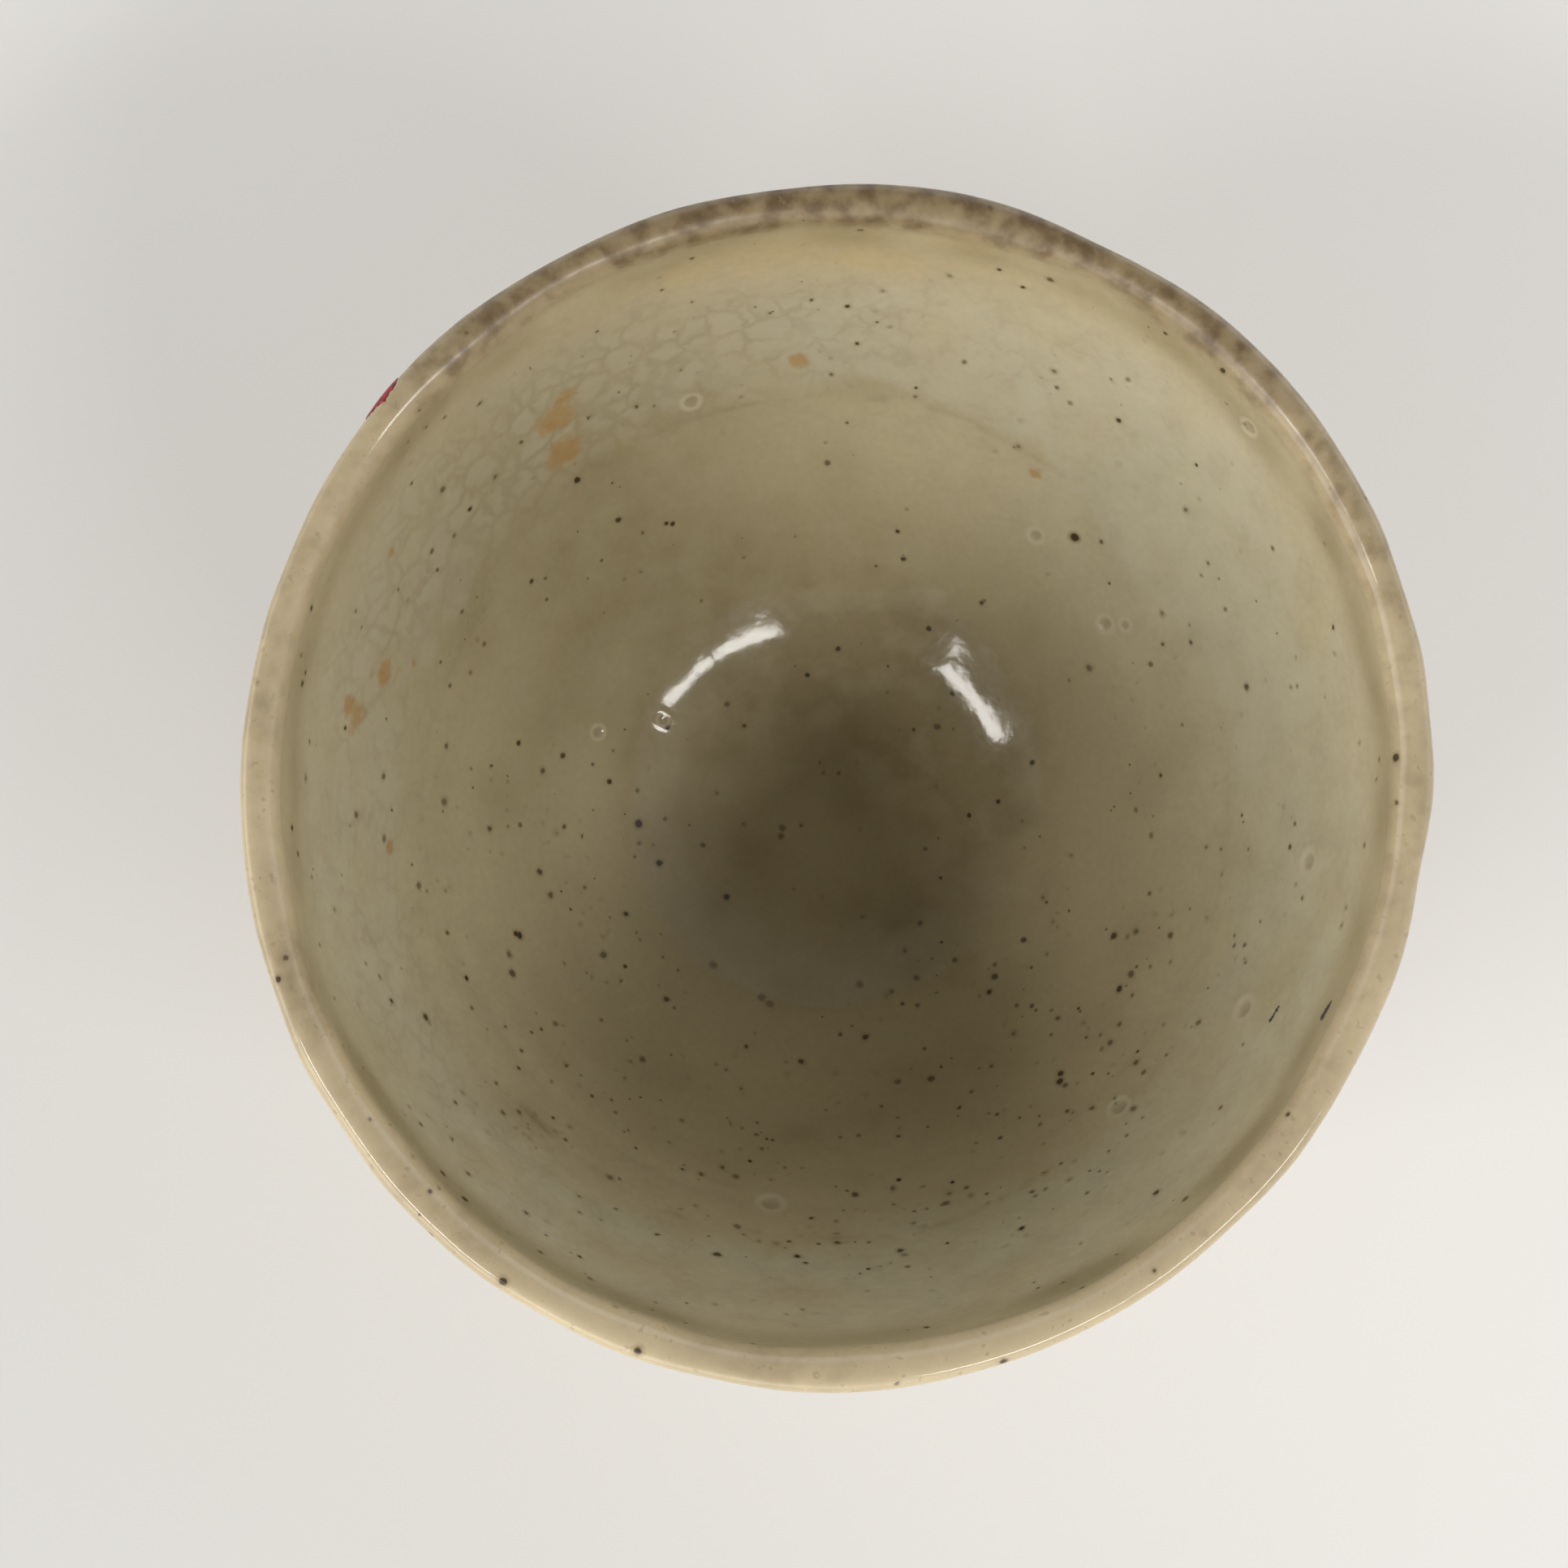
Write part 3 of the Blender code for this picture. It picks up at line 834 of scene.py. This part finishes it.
# WARM is the brown of stained glaze, and also the colour of the painted shade in the well.
WARM = (0.245, 0.196, 0.104)
YELLOW = (0.440, 0.350, 0.200)
BEIGE = (0.520, 0.430, 0.275)
BROWN = (0.150, 0.095, 0.050)
STAIN = (0.150, 0.102, 0.046)
DEEP_BROWN = (0.070, 0.040, 0.022)
RUST_COLOUR = (0.360, 0.200, 0.055)
CRACK_COLOUR = (0.240, 0.185, 0.110)
SPECK_COLOUR = (0.042, 0.030, 0.015)
SPECK_HALO = (0.230, 0.175, 0.090)
PIT_HALO = (0.560, 0.500, 0.370)
PIT_FLOOR = (0.290, 0.240, 0.160)
BLUE_BLACK = (0.020, 0.022, 0.045)
CRIMSON = (0.33, 0.008, 0.020)
DARK_CRIMSON = (0.09, 0.006, 0.012)
BODY_CLAY = ((0.42, 0.30, 0.19), (0.30, 0.19, 0.11), (0.52, 0.42, 0.30))
FOOT_CLAY = ((0.40, 0.29, 0.19), (0.28, 0.18, 0.11), (0.50, 0.40, 0.29))
GLAZE_IOR = 1.45


def glaze_ground(nodes, mottle, fine):
    """The glaze's colour: broad zones from the painted masks, one of them partly painted shade, broken up by
    noise.
    """
    uneven = nodes.scaled(mottle, 1.4, 0.3)
    celadon = nodes.times(nodes.mask("celadon"), nodes.scaled(mottle, 0.8, 0.6))
    colour = nodes.mix(celadon, CREAM, CELADON)
    # The warm mask darkens the colour toward WARM, for warmer glaze and for painted shade in the well.
    colour = nodes.mix(nodes.times(nodes.mask("warm_and_painted_shade"), uneven), colour, WARM)
    colour = nodes.mix(nodes.mask("lip"), colour, BEIGE)
    colour = nodes.mix(nodes.times(nodes.mask("yellow"), uneven), colour, YELLOW)
    colour = nodes.mix(nodes.times(nodes.mask("groove"), uneven, 0.60), colour, WARM)
    ring = nodes.times(nodes.mask("ring"), nodes.fade(mottle, 0.35, 0.6), 0.8)
    colour = nodes.mix(ring, colour, WARM)
    level = nodes.scaled(fine, 0.16, nodes.scaled(mottle, 0.24, 0.80))
    return nodes.mix(1.0, colour, nodes.grey(level), "MULTIPLY")


def crackle(nodes, colour, mottle):
    """Stained crazing: brown lines between cells some 3 to 4 mm across, with a paler middle to each."""
    line = nodes.cells(3.6, nodes.shaken(2.2, 2.4), "DISTANCE_TO_EDGE").outputs["Distance"]
    pale = nodes.times(nodes.mask("crackle"), nodes.fade(line, 0.26, 0.04), 0.28)
    colour = nodes.mix(pale, colour, CELADON)
    broken = nodes.fade(mottle, 0.38, 0.62)
    stained = nodes.times(nodes.mask("crackle"), nodes.fade(line, 0.0, 0.13), broken)
    return nodes.mix(nodes.times(stained, 0.24), colour, CRACK_COLOUR)


def lip_stain(nodes, colour, fine):
    """Tea stain clouding over the lip, and the small freckles in its glaze: (colour, film of stain)."""
    cloud = nodes.noise(2.6, 4.0)
    film = nodes.times(nodes.mask("stain"), nodes.scaled(cloud, 1.0, 0.5))
    colour = nodes.mix(nodes.times(film, 0.85), colour, STAIN)
    blobs = nodes.times(nodes.mask("stain"), nodes.fade(cloud, 0.72, 0.42))
    colour = nodes.mix(nodes.times(blobs, 0.50), colour, DEEP_BROWN)
    freckles = nodes.times(nodes.mask("lip"), nodes.fade(fine, 0.74, 0.62))
    return nodes.mix(nodes.times(freckles, 0.4), colour, CRACK_COLOUR), film


def scattered_specks(nodes, colour, fine, size, share, largest, darkness):
    """Iron specks, at most one to each cell of this size, and more where the glaze is speckled."""
    cell = nodes.cells(size, nodes.place)
    parts = nodes.new("ShaderNodeSeparateColor")
    nodes.link(cell.outputs["Color"], parts.inputs["Color"])
    there = nodes.math("LESS_THAN", parts.outputs[0], nodes.times(nodes.mask("speckle"), share))
    radius = nodes.scaled(parts.outputs[1], 0.7 * largest, 0.3 * largest)
    away = nodes.math("DIVIDE", nodes.times(cell.outputs["Distance"], size), radius)
    away = nodes.scaled(fine, 0.9, nodes.math("SUBTRACT", away, 0.45))
    colour = nodes.mix(nodes.times(there, nodes.fade(away, 0.7, 1.7), 0.35), colour, SPECK_HALO)
    tone = nodes.scaled(parts.outputs[2], 0.5, darkness - 0.25)
    return nodes.mix(nodes.times(there, nodes.fade(away, 0.45, 1.0), tone), colour, SPECK_COLOUR)


def placed_specks(nodes, colour, fine, marks):
    """Large iron specks, each with a soft halo."""
    dark = nodes.math("ADD", nodes.nearest(marks), nodes.scaled(fine, 0.9, -0.45))
    colour = nodes.mix(nodes.times(nodes.fade(dark, 0.8, 2.0), 0.5), colour, SPECK_HALO)
    return nodes.mix(nodes.times(nodes.fade(dark, 0.55, 1.1), 0.93), colour, SPECK_COLOUR)


def placed_marks(nodes, colour, mottle, fine):
    """This bowl's other marks: rust bleeds, burst bubbles, brown spots and blue strokes."""
    ragged = nodes.scaled(fine, 0.9, -0.45)
    blotchy = nodes.scaled(mottle, 2.4, nodes.scaled(fine, 0.8, -1.6))
    rust = nodes.math("ADD", nodes.nearest(RUST), blotchy)
    colour = nodes.mix(nodes.times(nodes.fade(rust, 0.35, 1.1), 0.62), colour, RUST_COLOUR)
    pit = nodes.scaled(ragged, 0.35, nodes.nearest(PITS))
    halo = nodes.times(nodes.fade(pit, 1.1, 1.6), nodes.fade(pit, 0.95, 0.7))
    colour = nodes.mix(nodes.times(halo, 0.4), colour, PIT_HALO)
    colour = nodes.mix(nodes.times(nodes.fade(pit, 0.35, 0.85), 0.5), colour, PIT_FLOOR)
    brown = nodes.math("ADD", nodes.nearest(BROWN_SPECKS), ragged)
    colour = nodes.mix(nodes.times(nodes.fade(brown, 0.4, 1.4), 0.75), colour, BROWN)
    blue = nodes.math("ADD", nodes.nearest(BLUE_STROKES), ragged)
    return nodes.mix(nodes.times(nodes.fade(blue, 0.6, 1.4), 0.9), colour, BLUE_BLACK)


def glaze_material(name, inside=False, specks=()):
    """Crazed, speckled glaze. All coats share their ground, so that colour runs across the borders."""
    nodes = MaterialNodes(name)
    mottle = nodes.noise(5.0, 3.0)
    fine = nodes.noise(0.9, 2.0)
    colour = glaze_ground(nodes, mottle, fine)
    colour = crackle(nodes, colour, mottle)
    colour, film = lip_stain(nodes, colour, fine)
    for scatter in SPECK_SCATTERS:
        colour = scattered_specks(nodes, colour, fine, *scatter)
    if inside:
        colour = placed_marks(nodes, colour, mottle, fine)
    if specks:
        colour = placed_specks(nodes, colour, fine, specks)
    clean = nodes.scaled(mottle, 0.06, nodes.scaled(fine, 0.04, 0.05))
    roughness = nodes.scaled(nodes.times(film, film), 0.28, clean)
    nodes.link(colour, nodes.shader.inputs["Base Color"])
    nodes.link(roughness, nodes.shader.inputs["Roughness"])
    nodes.link(nodes.bump(nodes.noise(1.8, 2.0), 0.00002), nodes.shader.inputs["Normal"])
    nodes.shader.inputs["IOR"].default_value = GLAZE_IOR
    return nodes.material


def clay_material(name, base, dark, light):
    """Bare fired stoneware: grain, iron freckles and toasted patches."""
    nodes = MaterialNodes(name)
    grain = nodes.noise(0.45, 4.0)
    colour = nodes.mix(nodes.fade(nodes.noise(12.0, 4.0), 0.70, 0.35), base, dark)
    colour = nodes.mix(nodes.times(nodes.fade(grain, 0.68, 0.50), 0.6), colour, light)
    freckles = nodes.fade(nodes.noise(0.7, 2.0), 0.24, 0.36)
    colour = nodes.mix(nodes.times(freckles, 0.7), colour, BROWN)
    nodes.link(colour, nodes.shader.inputs["Base Color"])
    nodes.link(nodes.scaled(grain, 0.2, 0.70), nodes.shader.inputs["Roughness"])
    uneven = nodes.bump(nodes.noise(2.5, 3.0), 0.00012)
    nodes.link(nodes.bump(grain, 0.00010, uneven), nodes.shader.inputs["Normal"])
    return nodes.material


def enamel_material():
    """Red overglaze: crimson, thin and dark where the brush left little."""
    nodes = MaterialNodes("red_enamel")
    strokes = nodes.noise(0.5, 3.0)
    colour = nodes.mix(nodes.fade(strokes, 0.66, 0.40), CRIMSON, DARK_CRIMSON)
    nodes.link(colour, nodes.shader.inputs["Base Color"])
    nodes.link(nodes.scaled(strokes, 0.2, 0.18), nodes.shader.inputs["Roughness"])
    nodes.link(nodes.bump(nodes.noise(0.25, 2.0), 0.00002), nodes.shader.inputs["Normal"])
    return nodes.material


# Camera, lights and floor.

CAMERA_AT = Vector((-0.0080, -0.0225, 0.2725))
CAMERA_TILT = (radians(5.97), radians(-0.74), 0.0)
LENS_PER_SENSOR = 1.279
SENSOR = 36.0

LIGHT_DISTANCE = 0.9
STRIP_RADIANCE = 18.5
STRIP_COLOUR = (1.0, 0.985, 0.95)

# Strip lights: (name, direction and elevation in degrees, width and height in metres).
STRIP_LIGHTS = [
    ("window", 215, 39, 0.42, 0.10),
    ("lamp_left", 298, 39, 0.25, 0.10),
    ("lamp_right", 322, 39, 0.29, 0.10),
]

# Soft light from round the room: (direction, radiance low down, radiance halfway up).
ROOM_LIGHTS = [(45.0, 1.60, 0.30), (135.0, 0.68, 0.06), (225.0, 3.05, 0.00), (315.0, 0.09, 0.36)]
HALFWAY_ELEVATION = 28.0
CEILING_ELEVATION = 55.0
CEILING_RADIANCE = 0.07
ELEVATION_SOFTNESS = 0.15
ROOM_COLOUR = (1.0, 0.985, 0.96, 1.0)

# The table's colour is painted paler toward one direction and darker away from it, as painted light and
# shade. It changes over this many mm to each side of the bowl's middle.
PAINTED_LIGHT_SIDE = radians(45.0)
TABLE_FADE = 150
PAINTED_SHADE_TABLE = (0.70, 0.694, 0.683)
PAINTED_LIGHT_TABLE = (0.885, 0.875, 0.862)
TABLE_SIZE = 6.0


def add_camera():
    data = bpy.data.cameras.new("camera")
    data.sensor_width = SENSOR
    data.lens = SENSOR * LENS_PER_SENSOR
    data.clip_start = 0.01
    camera = bpy.data.objects.new("camera", data)
    camera.location = CAMERA_AT
    camera.rotation_euler = CAMERA_TILT
    bpy.context.scene.collection.objects.link(camera)
    bpy.context.scene.camera = camera


def add_strip_light(name, direction_degrees, elevation_degrees, width, height):
    """A rectangular light that faces the bowl's mouth from this direction and elevation."""
    direction, elevation = radians(direction_degrees), radians(elevation_degrees)
    level = cos(elevation)
    toward = Vector((cos(direction) * level, sin(direction) * level, sin(elevation)))
    data = bpy.data.lights.new(name, "AREA")
    data.shape = "RECTANGLE"
    data.size = width
    data.size_y = height
    data.energy = STRIP_RADIANCE * pi * width * height
    data.color = STRIP_COLOUR
    light = bpy.data.objects.new(name, data)
    light.location = toward * LIGHT_DISTANCE + Vector((0, 0, HEIGHT))
    light.rotation_euler = toward.to_track_quat("Z", "Y").to_euler()
    bpy.context.scene.collection.objects.link(light)


def add_world():
    """Soft light from round the room, and a dim ceiling right above the bowl."""
    world = bpy.data.worlds.new("studio")
    bpy.context.scene.world = world
    nodes = Nodes(world)
    heading = nodes.new("ShaderNodeTexCoord").outputs["Generated"]
    level = nodes.vector("NORMALIZE", nodes.vector("MULTIPLY", heading, (1, 1, 0)))
    parts = nodes.new("ShaderNodeSeparateXYZ")
    nodes.link(heading, parts.inputs[0])
    rise = parts.outputs["Z"]

    def above(elevation):
        middle = sin(radians(elevation))
        return nodes.fade(rise, middle + ELEVATION_SOFTNESS, middle - ELEVATION_SOFTNESS)

    halfway_up = above(HALFWAY_ELEVATION)
    sides = CEILING_RADIANCE
    for direction, low_radiance, halfway_radiance in ROOM_LIGHTS:
        toward = (cos(radians(direction)), sin(radians(direction)), 0)
        facing = nodes.math("MAXIMUM", nodes.vector("DOT_PRODUCT", level, toward), 0.0)
        radiance = nodes.scaled(halfway_up, halfway_radiance - low_radiance, low_radiance)
        sides = nodes.scaled(facing, radiance, sides)
    background = nodes.tree.nodes["Background"]
    background.inputs["Color"].default_value = ROOM_COLOUR
    under_ceiling = nodes.math("SUBTRACT", 1.0, above(CEILING_ELEVATION))
    strength = nodes.scaled(sides, under_ceiling, CEILING_RADIANCE)
    nodes.link(strength, background.inputs["Strength"])


def add_floor():
    bpy.ops.mesh.primitive_plane_add(size=TABLE_SIZE, location=(0, 0, cad_low.z))
    floor = bpy.context.object
    floor.name = "floor"
    nodes = MaterialNodes("floor")
    toward = (cos(PAINTED_LIGHT_SIDE), sin(PAINTED_LIGHT_SIDE), 0)
    across = nodes.vector("DOT_PRODUCT", nodes.place, toward)
    # Painted light and shade: the table's colour darkens away from its lit side.
    colour = nodes.mix(nodes.fade(across, TABLE_FADE, -TABLE_FADE), PAINTED_SHADE_TABLE, PAINTED_LIGHT_TABLE)
    nodes.link(colour, nodes.shader.inputs["Base Color"])
    nodes.shader.inputs["Roughness"].default_value = 0.75
    floor.data.materials.append(nodes.material)


def main():
    bpy.context.scene.view_settings.view_transform = "Standard"
    add_camera()
    add_world()
    for strip in STRIP_LIGHTS:
        add_strip_light(*strip)
    add_floor()
    inner_glaze_piece(glaze_material("celadon_glaze", inside=True, specks=DARK_SPECKS))
    lip_glaze_piece(glaze_material("warm_lip_glaze", specks=LIP_SPECKS))
    outer_glaze_piece(glaze_material("outer_glaze"))
    clay_body_piece(clay_material("stoneware_clay", *BODY_CLAY))
    foot_ring_piece(clay_material("foot_clay", *FOOT_CLAY))
    enamel_piece(enamel_material())


main()
